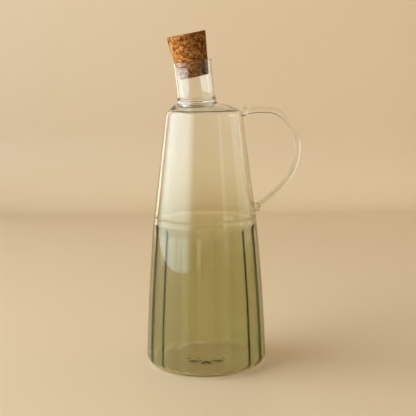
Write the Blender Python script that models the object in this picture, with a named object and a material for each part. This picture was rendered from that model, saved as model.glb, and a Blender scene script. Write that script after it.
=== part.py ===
# Oil cruet: ribbed glass bottle with a leaning neck and rod handle, closed by a tapered cork.
# Lengths are metres, +Z is up, the bottle rests on Z = 0 and the handle is on +X.

import math

import bmesh
import bpy
from mathutils import Matrix, Vector

MM = 0.001

# Body: a wide ribbed lower cone, a seam, then a plain upper cone
BASE_RADIUS = 43.9 * MM
BASE_CORNER = 7.5 * MM
LOWER_BULGE = 0.8 * MM
SEAM_HEIGHT = 107.8 * MM
SEAM_RADIUS = 37.3 * MM
SEAM_GROOVE = 0.3 * MM
SEAM_HALF_WIDTH = 1.5 * MM
SHOULDER_HEIGHT = 186.2 * MM
SHOULDER_RADIUS = 27.7 * MM
SHOULDER_CORNER = 4.2 * MM
SHOULDER_DOME = 1.25

# Neck: a straight tube that leans away from the handle and a little to the front
NECK_FOOT = Vector((-5.0 * MM, 0.0, 191.8 * MM))
NECK_LEAN_SIDE = math.radians(6.2)
NECK_LEAN_FRONT = math.radians(3.0)
NECK_RADIUS = 13.55 * MM
NECK_LENGTH = 28.8 * MM
NECK_WALL = 1.05 * MM
BEAD_SWELL = 0.75 * MM
BEAD_HALF_HEIGHT = 1.7 * MM
FOOT_FLARE = 2.6 * MM
FOOT_TILT = 0.35
RIM_FLARE = 0.35 * MM

# Wall thicknesses of the glass
FLOOR_THICKNESS = 2.2 * MM
LOWER_WALL = 2.6 * MM
UPPER_WALL = 1.9 * MM
INNER_CORNER = 5.2 * MM
SEAM_RIDGE = 0.3 * MM

# Narrow ribs on the inside of the lower cone, below a small ledge
RIB_COUNT = 18
RIB_HEIGHT = 0.8 * MM
RIB_HALF_WIDTH = math.radians(4.0)
RIB_FRONT = math.radians(-80.0)
RIB_TOP = SEAM_HEIGHT - 4.0 * MM
RIB_LEDGE = 1.6 * MM
RIB_FADE = 2.5 * MM

# Low fluted boss in the middle of the inside floor
BOSS_RADIUS = 13.5 * MM
BOSS_HEIGHT = 0.4 * MM
BOSS_FLUTE = 0.6 * MM
BOSS_LOBES = 10

# Handle: one bent glass rod with a fused drop at each end
ROD_RADIUS = 2.15 * MM
HANDLE_TOP = Vector((28.9 * MM, 0.0, 184.3 * MM))
HANDLE_BEND = Vector((48.5 * MM, 0.0, 184.9 * MM))
HANDLE_REACH = Vector((67.7 * MM, 0.0, 160.0 * MM))
HANDLE_FOOT = Vector((38.0 * MM, 0.0, 115.2 * MM))
DROP_RADIUS = 3.0 * MM
DROP_FLATTEN = 0.9

# Cork: a plain tapered stopper, a little more tilted than the neck
CORK_TOP_RADIUS = 14.15 * MM
CORK_FOOT_RADIUS = 10.5 * MM
CORK_LENGTH = 30.5 * MM
CORK_INSIDE = 11.2 * MM
CORK_SHIFT = 0.6 * MM
CORK_EXTRA_LEAN = math.radians(4.6)
CORK_EDGE = 0.6 * MM

# Facets
ROUND_STEPS = RIB_COUNT * 5
CORK_STEPS = 48
ROD_STEPS = 12


def lean_matrix(tilt=1.0, extra=0.0):
    """Rotation towards the neck direction; tilt 0 is upright and tilt 1 is the full lean."""
    side = Matrix.Rotation(-(NECK_LEAN_SIDE * tilt + extra), 4, "Y")
    front = Matrix.Rotation(NECK_LEAN_FRONT * tilt, 4, "X")
    return front @ side


def ring_matrix(height, share, tilt):
    """Placement of one ring: share 0 is on the body axis, share 1 on the neck axis."""
    upright = Vector((0.0, 0.0, height))
    along = lean_matrix() @ Vector((0.0, 0.0, height - NECK_FOOT.z))
    centre = upright.lerp(NECK_FOOT + along, share)
    return Matrix.Translation(centre) @ lean_matrix(tilt)


def ease(value):
    """Smooth step from 0 to 1."""
    value = min(max(value, 0.0), 1.0)
    return value * value * (3.0 - 2.0 * value)


def lower_radius(height):
    """Outside radius of the lower cone, which bulges a little between its two ends."""
    part = (height - BASE_CORNER) / (SEAM_HEIGHT - SEAM_HALF_WIDTH - BASE_CORNER)
    straight = BASE_RADIUS + (SEAM_RADIUS - BASE_RADIUS) * part
    return straight + LOWER_BULGE * 4.0 * part * (1.0 - part)


def upper_radius(height):
    """Outside radius of the plain upper cone."""
    start = SEAM_HEIGHT + SEAM_HALF_WIDTH
    part = (height - start) / (SHOULDER_HEIGHT - SHOULDER_CORNER - start)
    first = SEAM_RADIUS - SEAM_GROOVE
    return first + (SHOULDER_RADIUS - first) * part


def arc(centre_r, centre_h, radius, start, end, steps):
    """Points (radius, height) along a circular arc, angles in degrees."""
    points = []
    for index in range(steps + 1):
        angle = math.radians(start + (end - start) * index / steps)
        points.append((centre_r + radius * math.cos(angle), centre_h + radius * math.sin(angle)))
    return points


def spread(first, last, count):
    """Evenly spaced heights between two ends, both ends included."""
    return [first + (last - first) * index / (count - 1) for index in range(count)]


def on_body(points):
    """Make upright rings on the body axis from (radius, height) points."""
    return [(radius, height, 0.0, 0.0) for radius, height in points]


def on_neck(points, tilt=1.0):
    """Make rings on the neck axis from (radius, height) points."""
    return [(radius, height, 1.0, tilt) for radius, height in points]


def shoulder_rings(radius, height, neck_radius, thickness):
    """Rings from the shoulder corner over the sloping top to the foot of the neck."""
    rings = []
    top = NECK_FOOT.z - BEAD_HALF_HEIGHT - thickness
    foot = neck_radius + FOOT_FLARE
    for index in range(1, 5):
        part = index / 4
        level = height + (top - height) * (1.0 - (1.0 - part) ** SHOULDER_DOME)
        rings.append((radius + (foot - radius) * part, level, part, FOOT_TILT * part))
    rings.append((neck_radius + 0.25 * FOOT_FLARE, top + 0.35 * FOOT_FLARE, 1.0, FOOT_TILT))
    return rings


def shoulder_corner(thickness):
    """Points (radius, height) round the corner between the upper cone and the shoulder."""
    return arc(SHOULDER_RADIUS - SHOULDER_CORNER, SHOULDER_HEIGHT - SHOULDER_CORNER,
               SHOULDER_CORNER - thickness, 22, 72, 3)


def outer_rings():
    """Rings (radius, height, share, tilt) up the outside, from the base to the rim."""
    rings = on_body(arc(BASE_RADIUS - BASE_CORNER, BASE_CORNER, BASE_CORNER, -90, -8, 5))
    seam_low = SEAM_HEIGHT - SEAM_HALF_WIDTH
    seam_high = SEAM_HEIGHT + SEAM_HALF_WIDTH
    cone_end = SHOULDER_HEIGHT - SHOULDER_CORNER
    rings += on_body([(lower_radius(h), h) for h in spread(BASE_CORNER * 1.4, seam_low, 4)])
    rings += on_body([(SEAM_RADIUS - SEAM_GROOVE * 1.4, SEAM_HEIGHT)])
    rings += on_body([(upper_radius(h), h) for h in (seam_high, cone_end)])
    corner = shoulder_corner(0.0)
    rings += on_body(corner)
    rings += shoulder_rings(*corner[-1], NECK_RADIUS, 0.0)
    for turn in (-60, -25, 25, 60):
        angle = math.radians(turn)
        swell = NECK_RADIUS + BEAD_SWELL * math.cos(angle)
        level = NECK_FOOT.z + BEAD_HALF_HEIGHT * math.sin(angle)
        rings += on_neck([(swell, level)], FOOT_TILT)
    top = NECK_FOOT.z + NECK_LENGTH
    lip = NECK_WALL * 0.5
    rings += on_neck([(NECK_RADIUS, NECK_FOOT.z + BEAD_HALF_HEIGHT * 2.2)])
    rings += on_neck([(NECK_RADIUS, top - NECK_WALL * 3.0)])
    rings += on_neck(arc(NECK_RADIUS + RIM_FLARE - lip, top - lip, lip, 0, 90, 3))
    return rings


def inner_rings():
    """Rings down the inside, from the rim to the floor."""
    top = NECK_FOOT.z + NECK_LENGTH
    bore = NECK_RADIUS - NECK_WALL
    lip = NECK_WALL * 0.5
    rings = on_neck(arc(NECK_RADIUS + RIM_FLARE - lip, top - lip, lip, 125, 170, 1))
    rings += on_neck([(bore, top - NECK_WALL * 3.0)])
    rings += on_neck([(bore, NECK_FOOT.z + BEAD_HALF_HEIGHT * 2.2)])
    corner = shoulder_corner(UPPER_WALL)
    rings += reversed(shoulder_rings(*corner[-1], bore, UPPER_WALL))
    rings += on_body(reversed(corner))
    cone_end = SHOULDER_HEIGHT - SHOULDER_CORNER
    seam_high = SEAM_HEIGHT + SEAM_HALF_WIDTH * 2.0
    rings += on_body([(upper_radius(h) - UPPER_WALL, h) for h in (cone_end, seam_high)])
    ridge = SEAM_RADIUS - SEAM_GROOVE - UPPER_WALL - SEAM_RIDGE
    rings += on_body([(ridge, SEAM_HEIGHT), (upper_radius(RIB_TOP) - UPPER_WALL, RIB_TOP)])
    under = RIB_TOP - RIB_LEDGE
    floor = FLOOR_THICKNESS
    low = floor + INNER_CORNER
    heights = [under] + spread(RIB_TOP - RIB_FADE, low, 4)
    rings += on_body([(lower_radius(h) - LOWER_WALL, h) for h in heights])
    corner_radius = rings[-1][0] - INNER_CORNER
    rings += on_body(arc(corner_radius, low, INNER_CORNER, -25, -90, 3))
    rings += on_body([(BOSS_RADIUS, floor), (BOSS_RADIUS * 0.72, floor + BOSS_HEIGHT)])
    return rings


def rib_strength(height):
    """How far the ribs stand out at a height inside the bottle, 0 to 1."""
    below_top = ease((RIB_TOP - height) / RIB_FADE)
    above_floor = ease((height - FLOOR_THICKNESS * 0.6) / INNER_CORNER)
    return below_top * above_floor


def flute_inside(ring, height, radius):
    """Push the points of an inside ring in and out to make the ribs or the fluted boss."""
    for vert in ring:
        turn = math.atan2(vert.co.y, vert.co.x)
        if radius <= BOSS_RADIUS:
            move = BOSS_FLUTE * math.cos(BOSS_LOBES * turn)
        else:
            pitch = math.tau / RIB_COUNT
            aside = (turn - RIB_FRONT + pitch / 2) % pitch - pitch / 2
            bell = math.exp(-(aside / RIB_HALF_WIDTH) ** 2)
            move = -RIB_HEIGHT * rib_strength(height) * bell
        vert.co.xy *= (radius + move) / vert.co.xy.length


def glass_shell():
    """Closed mesh of the bottle wall: rings bridged up the outside and down the inside."""
    bm = bmesh.new()
    outside = outer_rings()
    stations = outside + inner_rings()
    previous = None
    for index, (radius, height, share, tilt) in enumerate(stations):
        made = bmesh.ops.create_circle(bm, segments=ROUND_STEPS, radius=radius)
        ring = made["verts"]
        bmesh.ops.transform(bm, matrix=ring_matrix(height, share, tilt), verts=ring)
        if index >= len(outside) and share == 0.0:
            flute_inside(ring, height, radius)
        edges = list({edge for vert in ring for edge in vert.link_edges})
        if previous is None:
            bmesh.ops.contextual_create(bm, geom=edges)
        else:
            bmesh.ops.bridge_loops(bm, edges=previous + edges)
        previous = edges
    bmesh.ops.contextual_create(bm, geom=previous)
    caps = [face for face in bm.faces if len(face.verts) > 4]
    bmesh.ops.poke(bm, faces=caps)
    bmesh.ops.recalc_face_normals(bm, faces=bm.faces)
    return bm


def add_object(name, bm, material):
    """Put a bmesh in the scene as a smooth-shaded object."""
    mesh = bpy.data.meshes.new(name)
    bm.to_mesh(mesh)
    bm.free()
    mesh.materials.append(material)
    mesh.shade_smooth()
    made = bpy.data.objects.new(name, mesh)
    bpy.context.scene.collection.objects.link(made)
    return made


def principled(name, colour, roughness, transmission, ior):
    """Plain Principled material."""
    material = bpy.data.materials.new(name)
    material.use_nodes = True
    shader = material.node_tree.nodes["Principled BSDF"]
    shader.inputs["Base Color"].default_value = (*colour, 1.0)
    shader.inputs["Roughness"].default_value = roughness
    shader.inputs["Transmission Weight"].default_value = transmission
    shader.inputs["IOR"].default_value = ior
    material.diffuse_color = (*colour, 1.0)
    return material


def handle_rod(material):
    """Bent rod as a Bezier curve with a round bevel and filled caps."""
    curve = bpy.data.curves.new("handle_rod", "CURVE")
    curve.dimensions = "3D"
    curve.bevel_depth = ROD_RADIUS
    curve.bevel_resolution = ROD_STEPS // 4
    curve.resolution_u = 9
    curve.use_fill_caps = True
    spline = curve.splines.new("BEZIER")
    spline.bezier_points.add(3)
    points = (
        (HANDLE_TOP, Vector((7.0, 0.0, 0.9)), 1.0),
        (HANDLE_BEND, Vector((7.2, 0.0, -1.0)), 1.0),
        (HANDLE_REACH, Vector((0.0, 0.0, -13.0)), 1.6),
        (HANDLE_FOOT, Vector((-18.5, 0.0, -14.8)), 1.0),
    )
    for point, (place, reach, ahead) in zip(spline.bezier_points, points):
        point.handle_left_type = "FREE"
        point.handle_right_type = "FREE"
        point.co = place
        point.handle_left = place - reach * MM
        point.handle_right = place + reach * ahead * MM
    bent = bpy.data.objects.new("handle_curve", curve)
    bm = bmesh.new()
    bm.from_mesh(bpy.data.meshes.new_from_object(bent))
    bmesh.ops.remove_doubles(bm, verts=bm.verts, dist=0.01 * MM)
    bmesh.ops.recalc_face_normals(bm, faces=bm.faces)
    bpy.data.objects.remove(bent, do_unlink=True)
    return add_object("handle_rod", bm, material)


def fused_drop(name, place, material):
    """Slightly flattened ball of glass where the rod is fused to the wall."""
    bm = bmesh.new()
    bmesh.ops.create_uvsphere(bm, u_segments=ROD_STEPS, v_segments=8, radius=DROP_RADIUS)
    bmesh.ops.scale(bm, vec=Vector((DROP_FLATTEN, 1.0, 1.1)), verts=bm.verts)
    bmesh.ops.translate(bm, vec=place, verts=bm.verts)
    return add_object(name, bm, material)


def fuse(target, helper):
    """Join a helper shape to the target with a Boolean union and keep it out of the render."""
    union = target.modifiers.new("fuse_" + helper.name, "BOOLEAN")
    union.operation = "UNION"
    union.solver = "EXACT"
    union.object = helper
    helper.hide_render = True
    helper.display_type = "WIRE"


def cork_stopper(material):
    """Tapered stopper with softened edges, set in the neck."""
    bm = bmesh.new()
    bmesh.ops.create_cone(bm, cap_ends=True, segments=CORK_STEPS, radius1=CORK_FOOT_RADIUS,
                          radius2=CORK_TOP_RADIUS, depth=CORK_LENGTH)
    ends = [face for face in bm.faces if len(face.verts) > 4]
    edges = list({edge for face in ends for edge in face.edges})
    bmesh.ops.bevel(bm, geom=edges, offset=CORK_EDGE, segments=2, profile=0.5,
                    affect="EDGES", material=-1)
    bmesh.ops.translate(bm, vec=Vector((0.0, 0.0, CORK_LENGTH / 2 - CORK_INSIDE)), verts=bm.verts)
    tilt = lean_matrix(1.0, CORK_EXTRA_LEAN)
    rim = ring_matrix(NECK_FOOT.z + NECK_LENGTH, 1.0, 1.0)
    shift = rim.to_3x3() @ Vector((-CORK_SHIFT, 0.0, 0.0))
    stopper = add_object("cork_stopper", bm, material)
    stopper.matrix_world = Matrix.Translation(rim.translation + shift) @ tilt
    return stopper


def main():
    for item in list(bpy.data.objects):
        bpy.data.objects.remove(item, do_unlink=True)
    glass = principled("olive_green_glass", (0.36, 0.40, 0.20), 0.02, 1.0, 1.47)
    cork = principled("natural_cork", (0.46, 0.24, 0.09), 0.85, 0.0, 1.45)
    bottle = add_object("glass_bottle", glass_shell(), glass)
    fuse(bottle, handle_rod(glass))
    fuse(bottle, fused_drop("top_drop", HANDLE_TOP, glass))
    fuse(bottle, fused_drop("bottom_drop", HANDLE_FOOT, glass))
    cork_stopper(cork)


main()
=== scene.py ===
"""Oil cruet: ribbed olive glass bottle with a leaning neck, a rod handle and a tapered cork."""

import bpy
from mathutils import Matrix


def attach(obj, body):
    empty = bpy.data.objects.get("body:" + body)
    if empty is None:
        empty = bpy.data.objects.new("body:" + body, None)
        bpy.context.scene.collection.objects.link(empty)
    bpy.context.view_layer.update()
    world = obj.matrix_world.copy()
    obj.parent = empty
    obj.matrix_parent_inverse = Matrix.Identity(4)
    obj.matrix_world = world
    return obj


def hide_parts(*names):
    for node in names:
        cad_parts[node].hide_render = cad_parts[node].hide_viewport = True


bl_info = {
    "name": "Oil cruet",
    "version": (1, 0, 0),
    "blender": (4, 5, 0),
    "location": "3D View > Sidebar > Cruet",
    "description": "Makes the glass bottle, its cork and the table they are photographed on",
    "category": "Add Mesh",
}

import math

import bmesh
import bpy
from bpy.props import FloatProperty, FloatVectorProperty, IntProperty, PointerProperty
from mathutils import Matrix, Vector, noise

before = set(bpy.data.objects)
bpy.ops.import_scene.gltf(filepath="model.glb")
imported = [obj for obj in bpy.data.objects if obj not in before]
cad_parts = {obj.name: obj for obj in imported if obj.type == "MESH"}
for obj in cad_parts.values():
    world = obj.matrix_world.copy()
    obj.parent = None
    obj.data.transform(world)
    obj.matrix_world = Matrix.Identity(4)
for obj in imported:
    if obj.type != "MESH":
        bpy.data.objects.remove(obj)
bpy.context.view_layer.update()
MM = 0.001

# Body: a wide ribbed lower cone, a fused seam, then a plain upper cone
BASE_RADIUS = 43.8 * MM
BASE_CORNER = 7.5 * MM
LOWER_BULGE = 0.8 * MM
SEAM_HEIGHT = 107.8 * MM
SEAM_RADIUS = 37.3 * MM
SEAM_GROOVE = 0.3 * MM
SEAM_HALF_WIDTH = 1.5 * MM
SHOULDER_HEIGHT = 186.2 * MM
SHOULDER_RADIUS = 27.7 * MM
SHOULDER_CORNER = 4.2 * MM
SHOULDER_DOME = 1.25
CORNER_START = 12
CORNER_END = 72

# Neck: a straight tube that leans away from the handle and a little to the front
NECK_FOOT = Vector((-5.0 * MM, 0.0, 191.8 * MM))
NECK_LEAN_SIDE = math.radians(6.2)
NECK_LEAN_FRONT = math.radians(3.0)
NECK_RADIUS = 13.55 * MM
NECK_LENGTH = 28.8 * MM
NECK_WALL = 1.05 * MM
BEAD_SWELL = 0.75 * MM
BEAD_HALF_HEIGHT = 1.7 * MM
BEAD_TURN = 1.2
FOOT_FLARE = 2.6 * MM
FOOT_TILT = 0.35
RIM_FLARE = 0.35 * MM

# Inside of the bottle
FLOOR_THICKNESS = 2.2 * MM
INNER_CORNER = 5.2 * MM
SEAM_RIDGE = 0.3 * MM
RIB_TOP = SEAM_HEIGHT - 4.0 * MM
RIB_LEDGE = 3.0 * MM
RIB_FADE = 2.5 * MM
RIB_HALF_WIDTH = math.radians(4.0)
RIB_FRONT = math.radians(-80.0)
BOSS_RADIUS = 13.5 * MM
BOSS_HEIGHT = 0.4 * MM
BOSS_FLUTE = 1.3 * MM
BOSS_LOBES = 10

# Handle: one bent glass rod with a fused drop at each end
ROD_RADIUS = 2.15 * MM
HANDLE_TOP = Vector((28.9 * MM, 0.0, 184.3 * MM))
HANDLE_BEND = Vector((48.5 * MM, 0.0, 184.9 * MM))
HANDLE_REACH = Vector((67.1 * MM, 0.0, 160.0 * MM))
HANDLE_FOOT = Vector((38.0 * MM, 0.0, 115.2 * MM))
DROP_RADIUS = 3.0 * MM
DROP_FLATTEN = 0.9

# Cork: a tapered stopper, a little more tilted than the neck
CORK_TOP_RADIUS = 14.15 * MM
CORK_FOOT_RADIUS = 10.5 * MM
CORK_LENGTH = 30.5 * MM
CORK_INSIDE = 11.2 * MM
CORK_SHIFT = 0.6 * MM
CORK_EXTRA_LEAN = math.radians(4.6)
CORK_EDGE = 0.6 * MM
CORK_PIT_LEVEL = 0.25
CORK_PIT_DEPTH = 1.6

# Patterns, as features in a metre, and the height that the glass tint is spread over
CORDS_ACROSS = 60.0
CORDS_ALONG = 8.0
CORD_SHIFT = 12.0 * MM
WAVES = 45.0
PAPER_TOOTH = 900.0
OMBRE_HEIGHT = 220.0 * MM

# Paper sweep, in metres from the bottle's axis, and painted shade: how much darker its left end
# and its wall are painted
SWEEP_HALF_WIDTH = 4.0
SWEEP_HALF_DEPTH = 2.5
SWEEP_MIDDLE = -1.65
SWEEP_DROP = 0.15 * MM
SWEEP_WALL = 0.75
SWEEP_FOLD = 0.12
LEFT_END = -0.5
RIGHT_END = 0.3
LEFT_PAINTED_SHADE = 0.61
WALL_PAINTED_SHADE = 0.9

# Camera, fitted to the rims, the seam and the base
CAMERA_PLACE = Vector((2.2 * MM, -662.0 * MM, 210.3 * MM))
CAMERA_DOWN = math.radians(8.22)
CAMERA_ROLL = math.radians(-0.54)
CAMERA_LENS = 79.6
CAMERA_SENSOR = 36.0


def colour(code):
    """Linear RGBA of an sRGB hex colour."""
    parts = [int(code[start:start + 2], 16) / 255 for start in (0, 2, 4)]
    linear = [p / 12.92 if p <= 0.04045 else ((p + 0.055) / 1.055) ** 2.4 for p in parts]
    return (*linear, 1.0)


class BottleSettings(bpy.types.PropertyGroup):
    """Sizes and tints of the glass."""

    rib_count: IntProperty(
        name="Ribs", description="Ribs round the inside of the lower half", default=18, min=6)
    rib_height: FloatProperty(
        name="Rib height", description="How far a rib stands out of the wall",
        default=0.8 * MM, unit="LENGTH")
    lower_wall: FloatProperty(
        name="Lower wall", description="Wall thickness of the ribbed half",
        default=2.6 * MM, unit="LENGTH")
    upper_wall: FloatProperty(
        name="Upper wall", description="Wall thickness of the plain half",
        default=1.9 * MM, unit="LENGTH")
    shoulder_wall: FloatProperty(
        name="Shoulder wall", description="Wall thickness where the shoulder was blown out",
        default=1.2 * MM, unit="LENGTH")
    round_steps: IntProperty(
        name="Facets round", description="Facets round the bottle", default=240, min=60)
    clear_tint: FloatVectorProperty(
        name="Clear tint", description="Tint of one wall at the neck", subtype="COLOR",
        size=4, default=colour("FDFDFB"))
    middle_tint: FloatVectorProperty(
        name="Middle tint", description="Tint of one wall at the seam", subtype="COLOR",
        size=4, default=colour("F8F6EA"))
    olive_tint: FloatVectorProperty(
        name="Olive tint", description="Tint of one wall in the ribbed half", subtype="COLOR",
        size=4, default=colour("F3F3E4"))
    body_tint: FloatVectorProperty(
        name="Body tint", description="What thick glass lets through", subtype="COLOR",
        size=4, default=(0.5, 0.5, 0.05, 1.0))
    depth: FloatProperty(
        name="Depth of tint", description="Absorption per metre of glass at the base",
        default=190.0)
    tint_top: FloatProperty(
        name="Tint starts", description="Height where the glass starts to turn olive",
        default=165.0 * MM, unit="LENGTH")
    tint_full: FloatProperty(
        name="Tint full", description="Height below which the tint is at its deepest",
        default=45.0 * MM, unit="LENGTH")


class CorkSettings(bpy.types.PropertyGroup):
    """Sizes and colours of the cork."""

    grain: FloatProperty(
        name="Grain", description="Width of one mottle of the cork",
        default=1.7 * MM, unit="LENGTH")
    roughness_depth: FloatProperty(
        name="Surface depth", description="How deep the surface is pitted and torn",
        default=0.35 * MM, unit="LENGTH")
    light_tone: FloatVectorProperty(
        name="Light cork", description="Colour of the pale cells", subtype="COLOR",
        size=4, default=colour("CC8A4A"))
    dark_tone: FloatVectorProperty(
        name="Dark cork", description="Colour of the dark veins", subtype="COLOR",
        size=4, default=colour("64300C"))
    pit_tone: FloatVectorProperty(
        name="Pits", description="Colour inside the pits", subtype="COLOR",
        size=4, default=colour("3A1C08"))


class StageSettings(bpy.types.PropertyGroup):
    """Colours and lights of the table top studio."""

    paper_tone: FloatVectorProperty(
        name="Paper", description="Colour of the paper sweep", subtype="COLOR",
        size=4, default=colour("E3C6A4"))
    window_strength: FloatProperty(
        name="Window", description="Radiance of the window on the left", default=4.8)
    through_strength: FloatProperty(
        name="Through the glass", description="Radiance of the light that passes the glass",
        default=2.15)
    back_strength: FloatProperty(
        name="Back window", description="Radiance of the window behind on the left", default=1.0)
    # Painted glow: the paper under the bottle emits this, standing in for light that the glass
    # gathers there
    painted_caustic_glow: FloatProperty(
        name="Gathered light", description="Light that the glass gathers on the paper under it",
        default=0.12)
    room_strength: FloatProperty(
        name="Room", description="Radiance of the room around the table", default=0.28)


def lean_matrix(tilt=1.0, extra=0.0):
    """Rotation towards the neck direction; tilt 0 is upright and tilt 1 is the full lean."""
    side = Matrix.Rotation(-(NECK_LEAN_SIDE * tilt + extra), 4, "Y")
    front = Matrix.Rotation(NECK_LEAN_FRONT * tilt, 4, "X")
    return front @ side


def ring_matrix(height, share, tilt):
    """Placement of one ring: share 0 is on the body axis, share 1 on the neck axis."""
    upright = Vector((0.0, 0.0, height))
    along = lean_matrix() @ Vector((0.0, 0.0, height - NECK_FOOT.z))
    centre = upright.lerp(NECK_FOOT + along, share)
    return Matrix.Translation(centre) @ lean_matrix(tilt)


def ease(value):
    """Smooth step from 0 to 1."""
    value = min(max(value, 0.0), 1.0)
    return value * value * (3.0 - 2.0 * value)


def spread(first, last, count):
    """Evenly spaced values between two ends, both ends included."""
    return [first + (last - first) * index / (count - 1) for index in range(count)]


def arc(centre_r, centre_h, radius, start, end, steps):
    """Points (radius, height) along a circular arc, angles in degrees."""
    points = []
    for angle in spread(math.radians(start), math.radians(end), steps + 1):
        points.append((centre_r + radius * math.cos(angle), centre_h + radius * math.sin(angle)))
    return points


def lower_radius(height):
    """Outside radius of the lower cone, which bulges a little between its two ends."""
    part = (height - BASE_CORNER) / (SEAM_HEIGHT - SEAM_HALF_WIDTH - BASE_CORNER)
    straight = BASE_RADIUS + (SEAM_RADIUS - BASE_RADIUS) * part
    return straight + LOWER_BULGE * 4.0 * part * (1.0 - part)


def upper_radius(height):
    """Outside radius of the plain upper cone."""
    start = SEAM_HEIGHT + SEAM_HALF_WIDTH
    part = (height - start) / (SHOULDER_HEIGHT - SHOULDER_CORNER - start)
    first = SEAM_RADIUS - SEAM_GROOVE
    return first + (SHOULDER_RADIUS - first) * part


def seam_bell(height, half_width):
    """1 at the seam, falling to 0 about two half widths away."""
    return math.exp(-((height - SEAM_HEIGHT) / half_width) ** 2)


def outer_radius(height):
    """Outside radius of the body, with the shallow groove where its two halves are fused."""
    blend = ease((height - SEAM_HEIGHT) / (2.0 * SEAM_HALF_WIDTH) + 0.5)
    plain = lower_radius(height) * (1.0 - blend) + upper_radius(height) * blend
    return plain - 0.4 * SEAM_GROOVE * seam_bell(height, 0.6 * SEAM_HALF_WIDTH)


def inner_radius(height, glass):
    """Inside radius of the body, with the ridge that the fused seam leaves."""
    blend = ease((height - RIB_TOP) / RIB_LEDGE + 1.0)
    lower = lower_radius(height) - glass.lower_wall
    part = ease((height - SEAM_HEIGHT) / (SHOULDER_HEIGHT - SHOULDER_CORNER - SEAM_HEIGHT))
    wall = glass.upper_wall + (glass.shoulder_wall - glass.upper_wall) * part
    upper = upper_radius(height) - wall
    plain = lower * (1.0 - blend) + upper * blend
    return plain - SEAM_RIDGE * seam_bell(height, SEAM_HALF_WIDTH)


def on_body(points):
    """Make upright rings on the body axis from (radius, height) points."""
    return [(radius, height, 0.0, 0.0) for radius, height in points]


def on_neck(points, tilt=1.0):
    """Make rings on the neck axis from (radius, height) points."""
    return [(radius, height, 1.0, tilt) for radius, height in points]


def shoulder_rings(radius, height, neck_radius, thickness, steps):
    """Rings from the shoulder corner over the sloping top to the foot of the neck."""
    rings = []
    top = NECK_FOOT.z - BEAD_HALF_HEIGHT - thickness
    foot = neck_radius + FOOT_FLARE
    for part in spread(0.0, 1.0, steps + 1)[1:]:
        level = height + (top - height) * (1.0 - (1.0 - part) ** SHOULDER_DOME)
        rings.append((radius + (foot - radius) * part, level, part, FOOT_TILT * part))
    for turn in spread(0.0, math.pi / 2, 6)[1:]:
        flare = neck_radius + FOOT_FLARE * (1.0 - 0.9 * math.sin(turn))
        rise = top + 0.4 * FOOT_FLARE * (1.0 - math.cos(turn))
        rings.append((flare, rise, 1.0, FOOT_TILT))
    return rings


def shoulder_corner(thickness, steps):
    """Points (radius, height) round the corner between the upper cone and the shoulder, with
    its start and end in degrees above level."""
    return arc(SHOULDER_RADIUS - SHOULDER_CORNER, SHOULDER_HEIGHT - SHOULDER_CORNER,
               SHOULDER_CORNER - thickness, CORNER_START, CORNER_END, steps)


def neck_tilt(height):
    """Tilt of a neck ring: the foot sits nearly level, the tube above it has the full lean."""
    start = NECK_FOOT.z + BEAD_HALF_HEIGHT
    return FOOT_TILT + (1.0 - FOOT_TILT) * ease((height - start) / (6.0 * MM))


def body_heights(first, last):
    """Heights up the body, closer together at the seam."""
    below = spread(first, SEAM_HEIGHT - 4.0 * MM, 30)
    seam = spread(SEAM_HEIGHT - 4.0 * MM, SEAM_HEIGHT + 4.0 * MM, 25)
    above = spread(SEAM_HEIGHT + 4.0 * MM, last, 18)
    return below + seam[1:] + above[1:]


def outer_rings():
    """Rings (radius, height, share, tilt) up the outside, from the base to the rim."""
    rings = on_body(arc(BASE_RADIUS - BASE_CORNER, BASE_CORNER, BASE_CORNER, -90, 0, 16))
    cone_end = SHOULDER_HEIGHT - SHOULDER_CORNER
    heights = body_heights(BASE_CORNER * 1.15, cone_end)
    rings += on_body([(outer_radius(h), h) for h in heights])
    corner = shoulder_corner(0.0, 9)
    rings += on_body(corner)
    rings += shoulder_rings(*corner[-1], NECK_RADIUS, 0.0, 14)
    for turn in spread(-BEAD_TURN, BEAD_TURN, 9):
        swell = NECK_RADIUS + BEAD_SWELL * math.cos(turn)
        rings += on_neck([(swell, NECK_FOOT.z + BEAD_HALF_HEIGHT * math.sin(turn))], FOOT_TILT)
    top = NECK_FOOT.z + NECK_LENGTH
    lip = NECK_WALL * 0.5
    for height in spread(NECK_FOOT.z + BEAD_HALF_HEIGHT * 1.5, top - NECK_WALL * 3.0, 16):
        rings += on_neck([(NECK_RADIUS, height)], neck_tilt(height))
    rings += on_neck(arc(NECK_RADIUS + RIM_FLARE - lip, top - lip, lip, -20, 90, 7))
    return rings


def inner_rings(glass):
    """Rings down the inside, from the rim to the floor."""
    top = NECK_FOOT.z + NECK_LENGTH
    bore = NECK_RADIUS - NECK_WALL
    lip = NECK_WALL * 0.5
    rings = on_neck(arc(NECK_RADIUS + RIM_FLARE - lip, top - lip, lip, 105, 190, 6))
    for height in spread(top - NECK_WALL * 3.0, NECK_FOOT.z, 16):
        rings += on_neck([(bore, height)], neck_tilt(height))
    corner = shoulder_corner(glass.shoulder_wall, 8)
    rings += reversed(shoulder_rings(*corner[-1], bore, glass.shoulder_wall, 12))
    rings += on_body(reversed(corner))
    low = FLOOR_THICKNESS + INNER_CORNER
    heights = body_heights(low, SHOULDER_HEIGHT - SHOULDER_CORNER - 1.0 * MM)
    rings += on_body([(inner_radius(h, glass), h) for h in reversed(heights)])
    corner_radius = rings[-1][0] - INNER_CORNER
    rings += on_body(arc(corner_radius, low, INNER_CORNER, -8, -90, 14))
    flat_end = BOSS_RADIUS * 1.12
    rings += on_body([(r, FLOOR_THICKNESS) for r in spread(corner_radius, flat_end, 8)[1:]])
    for part in spread(0.0, 1.0, 9)[1:]:
        radius = flat_end + (BOSS_RADIUS * 0.6 - flat_end) * part
        rings += on_body([(radius, FLOOR_THICKNESS + BOSS_HEIGHT * ease(part))])
    return rings


def rib_strength(height):
    """How far the ribs stand out at a height inside the bottle, 0 to 1."""
    below_top = ease((RIB_TOP - height) / RIB_FADE)
    above_floor = ease((height - FLOOR_THICKNESS * 0.6) / INNER_CORNER)
    return below_top * above_floor


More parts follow.
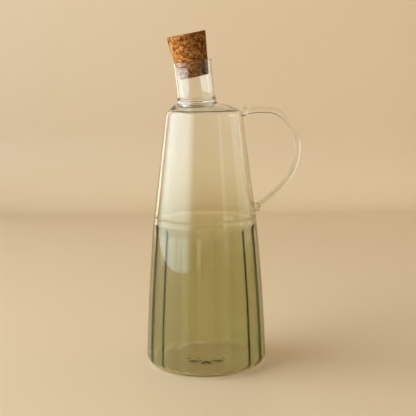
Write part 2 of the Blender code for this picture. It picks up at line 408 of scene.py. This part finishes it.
def fluting(turn, height, radius, glass):
    """How far an inside point moves out to make the ribs or the fluted boss."""
    boss_edge = BOSS_RADIUS * 1.12
    if radius <= boss_edge + 0.01 * MM:
        return BOSS_FLUTE * math.cos(BOSS_LOBES * turn) * ease((boss_edge - radius) / (2.0 * MM))
    pitch = math.tau / glass.rib_count
    aside = (turn - RIB_FRONT + pitch / 2) % pitch - pitch / 2
    return -glass.rib_height * rib_strength(height) * math.exp(-(aside / RIB_HALF_WIDTH) ** 2)


def lathe(stations, segments):
    """Spin a row of stations into one closed skin. Each point keeps its station's number."""
    bm = bmesh.new()
    number = bm.verts.layers.int.new("station")
    chain = []
    for index, station in enumerate(stations):
        vert = bm.verts.new((station[0], 0.0, station[1]))
        vert[number] = index
        chain.append(vert)
    for first, second in zip(chain, chain[1:]):
        bm.edges.new((first, second))
    bmesh.ops.spin(bm, geom=bm.verts[:] + bm.edges[:], cent=Vector(), axis=Vector((0, 0, 1)),
                   angle=math.tau, steps=segments, use_merge=True)
    rims = [edge for edge in bm.edges if edge.is_boundary]
    for end in (0, len(stations) - 1):
        loop = [edge for edge in rims if edge.verts[0][number] == end]
        bmesh.ops.contextual_create(bm, geom=loop)
    caps = [face for face in bm.faces if len(face.verts) > 4]
    bmesh.ops.poke(bm, faces=caps)
    return bm, number


def glass_shell(glass):
    """Mesh of the bottle wall: up the outside, over the rim and down the inside."""
    outside = outer_rings()
    stations = outside + inner_rings(glass)
    bm, number = lathe(stations, glass.round_steps)
    places = [ring_matrix(height, share, tilt) for radius, height, share, tilt in stations]
    for vert in bm.verts:
        radius, height, share, tilt = stations[vert[number]]
        reach = vert.co.xy.length
        if reach > 0.1 * MM and vert[number] >= len(outside) and share == 0.0:
            turn = math.atan2(vert.co.y, vert.co.x)
            vert.co.xy *= (radius + fluting(turn, height, radius, glass)) / reach
        vert.co = places[vert[number]] @ Vector((vert.co.x, vert.co.y, 0.0))
    bmesh.ops.recalc_face_normals(bm, faces=bm.faces)
    return bm


def add_object(name, bm, material):
    """Put a bmesh in the scene as a smooth-shaded object at the origin."""
    mesh = bpy.data.meshes.new(name)
    bm.to_mesh(mesh)
    bm.free()
    mesh.materials.append(material)
    mesh.shade_smooth()
    made = bpy.data.objects.new(name, mesh)
    bpy.context.scene.collection.objects.link(made)
    return made


def handle_rod(material):
    """Bent rod as a Bezier curve with a round bevel and filled caps, turned into a mesh. Each
    point has its place, its reach back in millimetres and how many times that it reaches on."""
    curve = bpy.data.curves.new("handle_rod", "CURVE")
    curve.dimensions = "3D"
    curve.bevel_depth = ROD_RADIUS
    curve.bevel_resolution = 6
    curve.resolution_u = 28
    curve.use_fill_caps = True
    spline = curve.splines.new("BEZIER")
    spline.bezier_points.add(3)
    points = (
        (HANDLE_TOP, Vector((7.0, 0.0, 0.9)), 1.0),
        (HANDLE_BEND, Vector((7.2, 0.0, -1.0)), 1.0),
        (HANDLE_REACH, Vector((0.0, 0.0, -13.0)), 1.6),
        (HANDLE_FOOT, Vector((-18.5, 0.0, -14.8)), 1.0),
    )
    for point, (place, reach, ahead) in zip(spline.bezier_points, points):
        point.handle_left_type = "FREE"
        point.handle_right_type = "FREE"
        point.co = place
        point.handle_left = place - reach * MM
        point.handle_right = place + reach * ahead * MM
    bent = bpy.data.objects.new("handle_curve", curve)
    bm = bmesh.new()
    bm.from_mesh(bpy.data.meshes.new_from_object(bent))
    bmesh.ops.remove_doubles(bm, verts=bm.verts, dist=0.01 * MM)
    bmesh.ops.recalc_face_normals(bm, faces=bm.faces)
    bpy.data.objects.remove(bent, do_unlink=True)
    return add_object("handle_rod", bm, material)


def fused_drop(name, place, material):
    """Slightly flattened ball of glass where the rod is fused to the wall."""
    bm = bmesh.new()
    bmesh.ops.create_uvsphere(bm, u_segments=32, v_segments=20, radius=DROP_RADIUS)
    bmesh.ops.scale(bm, vec=Vector((DROP_FLATTEN, 1.0, 1.1)), verts=bm.verts)
    bmesh.ops.translate(bm, vec=place, verts=bm.verts)
    return add_object(name, bm, material)


def fuse(target, helpers):
    """Melt the helper shapes into the target: one skin, with no glass walls left inside."""
    for helper in helpers:
        union = target.modifiers.new("fuse", "BOOLEAN")
        union.operation = "UNION"
        union.solver = "MANIFOLD"
        union.object = helper
    seen = target.evaluated_get(bpy.context.evaluated_depsgraph_get())
    joined = bpy.data.meshes.new_from_object(seen)
    target.modifiers.clear()
    target.data = joined
    joined.shade_smooth()
    for helper in helpers:
        bpy.data.objects.remove(helper, do_unlink=True)


def add_node(tree, kind, settings=None, links=None):
    """Add a node, set its sockets and options, and link other outputs into it."""
    node = tree.nodes.new(kind)
    for name, value in (settings or {}).items():
        if isinstance(name, int) or name in node.inputs:
            node.inputs[name].default_value = value
        else:
            setattr(node, name, value)
    for name, source in (links or {}).items():
        tree.links.new(source, node.inputs[name])
    return node


def set_ramp(node, stops):
    """Give a colour ramp its stops, as (position, RGBA) pairs from low to high."""
    ramp = node.color_ramp
    while len(ramp.elements) < len(stops):
        ramp.elements.new(0.5)
    for element, (position, tone) in zip(ramp.elements, stops):
        element.position = position
        element.color = tone


def new_material(name):
    """Empty Principled material: (material, node tree, shader)."""
    material = bpy.data.materials.new(name)
    material.use_nodes = True
    tree = material.node_tree
    return material, tree, tree.nodes["Principled BSDF"]


def blown_glass(glass):
    """Borosilicate glass blown in a ribbed mould: clear at the neck and olive at the base,
    fire-polished smooth, with faint cords drawn out along the wall."""
    material, tree, shader = new_material("borosilicate_glass_mould_blown")
    place = add_node(tree, "ShaderNodeTexCoord")
    axes = add_node(tree, "ShaderNodeSeparateXYZ", links={"Vector": place.outputs["Object"]})
    cords = add_node(tree, "ShaderNodeMapping",
                     {"Scale": (CORDS_ACROSS, CORDS_ACROSS, CORDS_ALONG)},
                     {"Vector": place.outputs["Object"]})
    streaks = add_node(tree, "ShaderNodeTexNoise", {"Scale": 1.0, "Detail": 2.0},
                       {"Vector": cords.outputs["Vector"]})
    wander = add_node(tree, "ShaderNodeMath",
                      {"operation": "MULTIPLY_ADD", 1: CORD_SHIFT, 2: -CORD_SHIFT / 2},
                      {0: streaks.outputs["Fac"]})
    level = add_node(tree, "ShaderNodeMath", {"operation": "ADD"},
                     {0: axes.outputs["Z"], 1: wander.outputs["Value"]})
    part = add_node(tree, "ShaderNodeMapRange", {"From Min": 0.0, "From Max": OMBRE_HEIGHT},
                    {"Value": level.outputs["Value"]})
    ombre = add_node(tree, "ShaderNodeValToRGB", links={"Fac": part.outputs["Result"]})
    stops = (
        (1.76 * MM, glass.clear_tint),
        (4.84 * MM, glass.olive_tint),
        (66.0 * MM, glass.olive_tint),
        (110.0 * MM, glass.middle_tint),
        (187.0 * MM, glass.clear_tint),
    )
    set_ramp(ombre, [(height / OMBRE_HEIGHT, tint) for height, tint in stops])
    tree.links.new(ombre.outputs["Color"], shader.inputs["Base Color"])
    waves = add_node(tree, "ShaderNodeTexNoise", {"Scale": WAVES, "Detail": 1.0},
                     {"Vector": place.outputs["Object"]})
    bump = add_node(tree, "ShaderNodeBump", {"Strength": 0.25, "Distance": 0.1 * MM},
                    {"Height": waves.outputs["Fac"]})
    tree.links.new(bump.outputs["Normal"], shader.inputs["Normal"])
    depth = add_node(tree, "ShaderNodeMapRange",
                     {"interpolation_type": "SMOOTHSTEP", "From Min": glass.tint_top,
                      "From Max": glass.tint_full, "To Min": 0.0, "To Max": glass.depth},
                     {"Value": axes.outputs["Z"]})
    floor = add_node(tree, "ShaderNodeMapRange",
                     {"interpolation_type": "SMOOTHSTEP", "From Min": FLOOR_THICKNESS * 0.6,
                      "From Max": FLOOR_THICKNESS * 1.6}, {"Value": axes.outputs["Z"]})
    density = add_node(tree, "ShaderNodeMath", {"operation": "MULTIPLY"},
                       {0: depth.outputs["Result"], 1: floor.outputs["Result"]})
    body = add_node(tree, "ShaderNodeVolumeAbsorption", {"Color": glass.body_tint},
                    {"Density": density.outputs["Value"]})
    tree.links.new(body.outputs["Volume"], tree.nodes["Material Output"].inputs["Volume"])
    shader.inputs["Transmission Weight"].default_value = 1.0
    shader.inputs["Roughness"].default_value = 0.0
    shader.inputs["IOR"].default_value = 1.47
    return material


def natural_cork(cork):
    """Natural cork bark, punched and sanded: matt, mottled in tan and brown, with dark pits."""
    material, tree, shader = new_material("natural_cork_sanded")
    place = add_node(tree, "ShaderNodeTexCoord")
    lie = add_node(tree, "ShaderNodeMapping", {"Rotation": (0.0, 0.35, 0.0),
                                               "Scale": (1.0, 1.0, 1.4)},
                   {"Vector": place.outputs["Object"]})
    grain = add_node(tree, "ShaderNodeTexNoise",
                     {"Scale": 0.6 / cork.grain, "Detail": 7.0, "Roughness": 0.72,
                      "Distortion": 0.6}, {"Vector": lie.outputs["Vector"]})
    mottle = add_node(tree, "ShaderNodeValToRGB", links={"Fac": grain.outputs["Fac"]})
    set_ramp(mottle, [(0.40, cork.dark_tone), (0.60, cork.light_tone)])
    torn = add_node(tree, "ShaderNodeTexNoise",
                    {"Scale": 1.1 / cork.grain, "Detail": 3.0, "Roughness": 0.6,
                     "Distortion": 1.2}, {"Vector": lie.outputs["Vector"]})
    pits = add_node(tree, "ShaderNodeMapRange", {"From Min": 0.37, "From Max": 0.44},
                    {"Value": torn.outputs["Fac"]})
    shade = add_node(tree, "ShaderNodeMix", {"data_type": "RGBA", 6: cork.pit_tone},
                     {"Factor": pits.outputs["Result"], 7: mottle.outputs["Color"]})
    tree.links.new(shade.outputs[2], shader.inputs["Base Color"])
    height = add_node(tree, "ShaderNodeMath", {"operation": "ADD"},
                      {0: pits.outputs["Result"], 1: grain.outputs["Fac"]})
    bump = add_node(tree, "ShaderNodeBump", {"Strength": 0.9, "Distance": 0.5 * MM},
                    {"Height": height.outputs["Value"]})
    tree.links.new(bump.outputs["Normal"], shader.inputs["Normal"])
    shader.inputs["Roughness"].default_value = 0.9
    shader.inputs["Specular IOR Level"].default_value = 0.1
    shader.inputs["IOR"].default_value = 1.45
    return material


def matt_paper(stage):
    """Uncoated card sweep: matt, one warm tone with a faint tooth, painted darker as shade
    towards the left end and up the wall. Under the bottle a painted glow stands in for light the
    glass gathers."""
    material, tree, shader = new_material("uncoated_card_pale")
    place = add_node(tree, "ShaderNodeTexCoord")
    tooth = add_node(tree, "ShaderNodeTexNoise", {"Scale": PAPER_TOOTH, "Detail": 4.0},
                     {"Vector": place.outputs["Object"]})
    bump = add_node(tree, "ShaderNodeBump", {"Strength": 0.1, "Distance": 0.1 * MM},
                    {"Height": tooth.outputs["Fac"]})
    tree.links.new(bump.outputs["Normal"], shader.inputs["Normal"])
    axes = add_node(tree, "ShaderNodeSeparateXYZ", links={"Vector": place.outputs["Object"]})
    # Painted shade: the paper is painted darker towards its left end, nearest the window, to even
    # out the window's light on it
    across = add_node(tree, "ShaderNodeMapRange",
                      {"From Min": LEFT_END, "From Max": RIGHT_END, "To Min": LEFT_PAINTED_SHADE,
                       "To Max": 1.0},
                      {"Value": axes.outputs["X"]})
    # Painted shade: the upright wall is painted a little darker than the table top
    up = add_node(tree, "ShaderNodeMapRange",
                  {"interpolation_type": "SMOOTHSTEP", "From Min": 0.01, "From Max": 0.1,
                   "To Min": 1.0, "To Max": WALL_PAINTED_SHADE}, {"Value": axes.outputs["Z"]})
    both = add_node(tree, "ShaderNodeMath", {"operation": "MULTIPLY"},
                    {0: across.outputs["Result"], 1: up.outputs["Result"]})
    tone = add_node(tree, "ShaderNodeMix",
                    {"data_type": "RGBA", "blend_type": "MULTIPLY", "Factor": 1.0,
                     6: stage.paper_tone}, {7: both.outputs["Value"]})
    tree.links.new(tone.outputs[2], shader.inputs["Base Color"])
    # Painted glow: the paper under the bottle emits light, a stand-in for the light that the
    # glass gathers on it
    away = add_node(tree, "ShaderNodeVectorMath", {"operation": "LENGTH"},
                    {0: place.outputs["Object"]})
    under = add_node(tree, "ShaderNodeMapRange",
                     {"interpolation_type": "SMOOTHSTEP", "From Min": BASE_RADIUS * 1.02,
                      "From Max": BASE_RADIUS * 0.94, "To Max": stage.painted_caustic_glow},
                     {"Value": away.outputs["Value"]})
    tree.links.new(tone.outputs[2], shader.inputs["Emission Color"])
    tree.links.new(under.outputs["Result"], shader.inputs["Emission Strength"])
    shader.inputs["Roughness"].default_value = 0.5
    return material


class CRUET_OT_bottle(bpy.types.Operator):
    """Make the glass bottle with its neck and rod handle as one fused skin"""

    bl_idname = "cruet.bottle"
    bl_label = "Glass bottle"

    def execute(self, context):
        glass = context.scene.cruet_bottle
        material = blown_glass(glass)
        bottle = add_object("bottle_glass", glass_shell(glass), material)
        fuse(bottle, [handle_rod(material), fused_drop("top_drop", HANDLE_TOP, material),
                      fused_drop("bottom_drop", HANDLE_FOOT, material)])
        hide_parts("glass_bottle")
        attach(bottle, "root")
        return {"FINISHED"}


def cork_mesh(cork):
    """Tapered stopper with softened edges and a slightly uneven sanded surface."""
    foot = -CORK_INSIDE
    head = CORK_LENGTH - CORK_INSIDE
    side = []
    for part in spread(0.0, 1.0, 70):
        radius = CORK_FOOT_RADIUS + (CORK_TOP_RADIUS - CORK_FOOT_RADIUS) * part
        gap = min(part, 1.0 - part) * CORK_LENGTH
        soft = max(CORK_EDGE - gap, 0.0)
        radius -= CORK_EDGE - math.sqrt(max(CORK_EDGE ** 2 - soft ** 2, 0.0))
        side.append((radius, foot + CORK_LENGTH * part))
    below = [(side[0][0] * part, foot) for part in spread(0.05, 0.97, 24)]
    above = [(side[-1][0] * part, head) for part in spread(0.97, 0.05, 24)]
    bm, number = lathe(below + side + above, 160)
    bmesh.ops.recalc_face_normals(bm, faces=bm.faces)
    bm.normal_update()
    for vert in bm.verts:
        wander = noise.fractal(vert.co / cork.grain, 0.8, 2.1, 4)
        pit = ease((-CORK_PIT_LEVEL - wander) * 4.0)
        torn = min(wander - CORK_PIT_LEVEL, 0.0) - CORK_PIT_DEPTH * pit
        vert.co += vert.normal * cork.roughness_depth * 0.5 * torn
    tilt = lean_matrix(1.0, CORK_EXTRA_LEAN)
    rim = ring_matrix(NECK_FOOT.z + NECK_LENGTH, 1.0, 1.0)
    shift = rim.to_3x3() @ Vector((-CORK_SHIFT, 0.0, 0.0))
    placed = Matrix.Translation(rim.translation + shift) @ tilt
    bmesh.ops.transform(bm, matrix=placed, verts=bm.verts)
    return bm


class CRUET_OT_cork(bpy.types.Operator):
    """Cut the tapered cork and set it in the neck"""

    bl_idname = "cruet.cork"
    bl_label = "Cork stopper"

    def execute(self, context):
        cork = context.scene.cruet_cork
        stopper = add_object("cork_body", cork_mesh(cork), natural_cork(cork))
        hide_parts("cork_stopper")
        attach(stopper, "root")
        return {"FINISHED"}


def paper_sweep(stage):
    """Sheet of card that lies on the table and curves up behind it."""
    bm = bmesh.new()
    bmesh.ops.create_grid(bm, x_segments=1, y_segments=1, size=1.0)
    bmesh.ops.scale(bm, vec=Vector((SWEEP_HALF_WIDTH, SWEEP_HALF_DEPTH, 1.0)), verts=bm.verts)
    bmesh.ops.translate(bm, vec=Vector((0.0, SWEEP_MIDDLE, -SWEEP_DROP)), verts=bm.verts)
    bm.edges.ensure_lookup_table()
    back = max(bm.edges, key=lambda edge: sum(vert.co.y for vert in edge.verts))
    raised = bmesh.ops.extrude_edge_only(bm, edges=[back])
    risen = [item for item in raised["geom"] if isinstance(item, bmesh.types.BMVert)]
    bmesh.ops.translate(bm, vec=Vector((0.0, 0.0, SWEEP_WALL)), verts=risen)
    fold = [edge for edge in bm.edges if len(edge.link_faces) == 2]
    bmesh.ops.bevel(bm, geom=fold, offset=SWEEP_FOLD, segments=24, profile=0.5,
                    affect="EDGES", material=-1)
    bmesh.ops.recalc_face_normals(bm, faces=bm.faces)
    add_object("paper_sweep", bm, matt_paper(stage))


def soft_card(name, azimuth, half_angle, distance, height, radiance, tone, fade):
    """Upright light card that stands on the table and faces the object. Azimuth 0 is the
    camera's side and 90 the left; fade holds how much of the width each upright edge takes to
    reach full strength."""
    turn = math.radians(azimuth)
    centre = Vector((-math.sin(turn) * distance, -math.cos(turn) * distance, height / 2))
    light = bpy.data.lights.new(name, "AREA")
    light.shape = "RECTANGLE"
    light.size = 2.0 * distance * math.tan(math.radians(half_angle))
    light.size_y = height
    light.energy = radiance * math.pi * light.size * light.size_y
    light.color = tone[:3]
    light.use_nodes = True
    tree = light.node_tree
    spot = add_node(tree, "ShaderNodeNewGeometry")
    across = add_node(tree, "ShaderNodeSeparateXYZ", links={"Vector": spot.outputs["Parametric"]})
    first = add_node(tree, "ShaderNodeMapRange",
                     {"interpolation_type": "SMOOTHSTEP", "From Min": 0.0, "From Max": fade[0]},
                     {"Value": across.outputs["X"]})
    second = add_node(tree, "ShaderNodeMapRange",
                      {"interpolation_type": "SMOOTHSTEP", "From Min": 1.0,
                       "From Max": 1.0 - fade[1]},
                      {"Value": across.outputs["X"]})
    both = add_node(tree, "ShaderNodeMath", {"operation": "MULTIPLY"},
                    {0: first.outputs["Result"], 1: second.outputs["Result"]})
    tree.links.new(both.outputs["Value"], tree.nodes["Emission"].inputs["Strength"])
    lamp = bpy.data.objects.new(name, light)
    lamp.location = centre
    aim = Vector((0.0, 0.0, centre.z))
    lamp.rotation_euler = (aim - centre).to_track_quat("-Z", "Y").to_euler()
    bpy.context.scene.collection.objects.link(lamp)
    return lamp


def let_through(lamp, name):
    """Let a light pass the glass without a shadow, as the real bottle lets part of it through.
    It is left out of reflections, which show the window once."""
    blockers = bpy.data.collections.new(lamp.name)
    blockers.objects.link(bpy.data.objects[name])
    lamp.light_linking.blocker_collection = blockers
    lamp.visible_glossy = False
    lamp.visible_transmission = False
    blockers.collection_objects[0].light_linking.link_state = "EXCLUDE"


def light_cards(stage):
    """Window on the left, its light through the glass, a strip behind it, and a dim wall with a
    narrow gap on the right."""
    window = {"azimuth": 78.0, "half_angle": 54.0, "distance": 0.9, "height": 1.3,
              "fade": (0.39, 0.35)}
    soft_card("window_left", radiance=stage.window_strength, tone=colour("DAEFF8"), **window)
    through = soft_card("window_through_glass", radiance=stage.through_strength,
                        tone=colour("FFF7DC"), **window)
    let_through(through, "bottle_glass")
    soft_card("window_back", azimuth=143.0, half_angle=8.0, distance=0.8, height=1.1,
              radiance=stage.back_strength, tone=colour("FFF6E4"), fade=(0.3, 0.3))
    soft_card("wall_right", azimuth=-104.0, half_angle=25.0, distance=1.2, height=1.3,
              radiance=0.75, tone=colour("F4FFFA"), fade=(0.2, 0.2))
    soft_card("gap_right", azimuth=-46.0, half_angle=6.0, distance=1.2, height=1.3,
              radiance=0.8, tone=colour("C0F0FF"), fade=(0.3, 0.3))


def room_light(stage):
    """Even warm light from all round, half as strong from above."""
    world = bpy.data.worlds.new("room")
    bpy.context.scene.world = world
    world.use_nodes = True
    tree = world.node_tree
    back = tree.nodes["Background"]
    back.inputs["Color"].default_value = colour("F2DCB8")
    sky = add_node(tree, "ShaderNodeTexCoord")
    height = add_node(tree, "ShaderNodeSeparateXYZ", links={"Vector": sky.outputs["Generated"]})
    dim = add_node(tree, "ShaderNodeMapRange",
                   {"From Min": 0.2, "From Max": 0.8, "To Min": stage.room_strength,
                    "To Max": stage.room_strength * 0.5}, {"Value": height.outputs["Z"]})
    tree.links.new(dim.outputs["Result"], back.inputs["Strength"])


def photo_camera():
    """Camera at the photo's viewing angle, made the scene's camera."""
    camera = bpy.data.cameras.new("camera")
    camera.lens = CAMERA_LENS
    camera.sensor_width = CAMERA_SENSOR
    camera.clip_start = 0.01
    viewer = bpy.data.objects.new("camera", camera)
    tilt = Matrix.Rotation(math.pi / 2 - CAMERA_DOWN, 4, "X")
    roll = Matrix.Rotation(CAMERA_ROLL, 4, "Z")
    viewer.matrix_world = Matrix.Translation(CAMERA_PLACE) @ tilt @ roll
    bpy.context.scene.collection.objects.link(viewer)
    bpy.context.scene.camera = viewer


class CRUET_OT_stage(bpy.types.Operator):
    """Lay the paper sweep, light it from a window on the left and place the camera"""

    bl_idname = "cruet.stage"
    bl_label = "Table, light and camera"

    def execute(self, context):
        stage = context.scene.cruet_stage
        paper_sweep(stage)
        light_cards(stage)
        room_light(stage)
        photo_camera()
        context.scene.view_settings.view_transform = "Standard"
        return {"FINISHED"}


class CRUET_PT_panel(bpy.types.Panel):
    """Buttons and settings for the cruet"""

    bl_idname = "CRUET_PT_panel"
    bl_label = "Oil cruet"
    bl_space_type = "VIEW_3D"
    bl_region_type = "UI"
    bl_category = "Cruet"

    def draw(self, context):
        layout = self.layout
        for group in (context.scene.cruet_bottle, context.scene.cruet_cork,
                      context.scene.cruet_stage):
            box = layout.box()
            for name in group.__annotations__:
                box.prop(group, name)
        for operator in (CRUET_OT_bottle, CRUET_OT_cork, CRUET_OT_stage):
            layout.operator(operator.bl_idname)


CLASSES = (BottleSettings, CorkSettings, StageSettings, CRUET_OT_bottle, CRUET_OT_cork,
           CRUET_OT_stage, CRUET_PT_panel)


def register():
    for item in CLASSES:
        bpy.utils.register_class(item)
    bpy.types.Scene.cruet_bottle = PointerProperty(type=BottleSettings)
    bpy.types.Scene.cruet_cork = PointerProperty(type=CorkSettings)
    bpy.types.Scene.cruet_stage = PointerProperty(type=StageSettings)


def unregister():
    del bpy.types.Scene.cruet_stage
    del bpy.types.Scene.cruet_cork
    del bpy.types.Scene.cruet_bottle
    for item in reversed(CLASSES):
        bpy.utils.unregister_class(item)


def main():
    register()
    bpy.ops.cruet.bottle()
    bpy.ops.cruet.cork()
    bpy.ops.cruet.stage()


if __name__ == "__main__":
    main()
